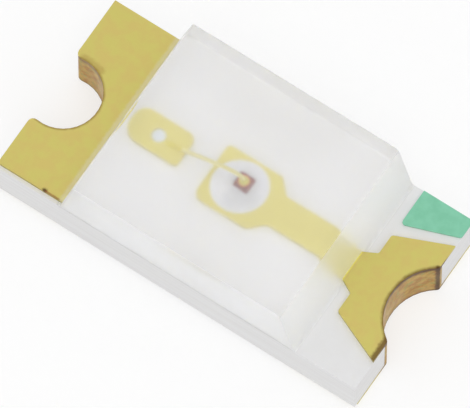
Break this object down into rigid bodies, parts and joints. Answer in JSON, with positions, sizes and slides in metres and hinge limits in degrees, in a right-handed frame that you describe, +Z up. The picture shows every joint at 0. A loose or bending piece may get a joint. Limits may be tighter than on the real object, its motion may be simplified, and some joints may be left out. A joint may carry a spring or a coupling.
{
  "type": "smd led",
  "caption": "Rectangular surface-mount chip LED: white board with half-moon plated ends, die and bond wire under a milky epoxy block.",
  "frame": {"origin": "middle of the rectangle that the solder pads rest on, at the underside", "axes": "+X along the board towards the end with the green mark, +Y across it towards that mark's side, +Z up out of the epoxy body"},
  "size_m": [0.0032, 0.0016, 0.0009],
  "materials": {
    "laminate": "matt white resin laminate, sawn at the sides",
    "gold_plating": "matt soft gold plating over copper",
    "plug_resin": "matt white hole-filling resin",
    "silver_adhesive": "pale silver-filled adhesive, satin",
    "die_crystal": "dark red-brown semiconductor crystal",
    "contact_gold": "satin gold contact",
    "wire_gold": "bright drawn gold wire",
    "milky_epoxy": "milky translucent moulded epoxy, satin top, sawn sides",
    "green_ink": "matt green printed resist"
  },
  "bodies": {
    "root": {"board": "laminate", "left_terminal": "gold_plating", "right_terminal": "gold_plating", "via_plug": "plug_resin", "die_attach": "silver_adhesive", "die": "die_crystal", "die_contact": "contact_gold", "bond_wire": "wire_gold", "epoxy_body": "milky_epoxy", "polarity_mark": "green_ink", "underside_mark": "green_ink"}
  },
  "joints": []
}
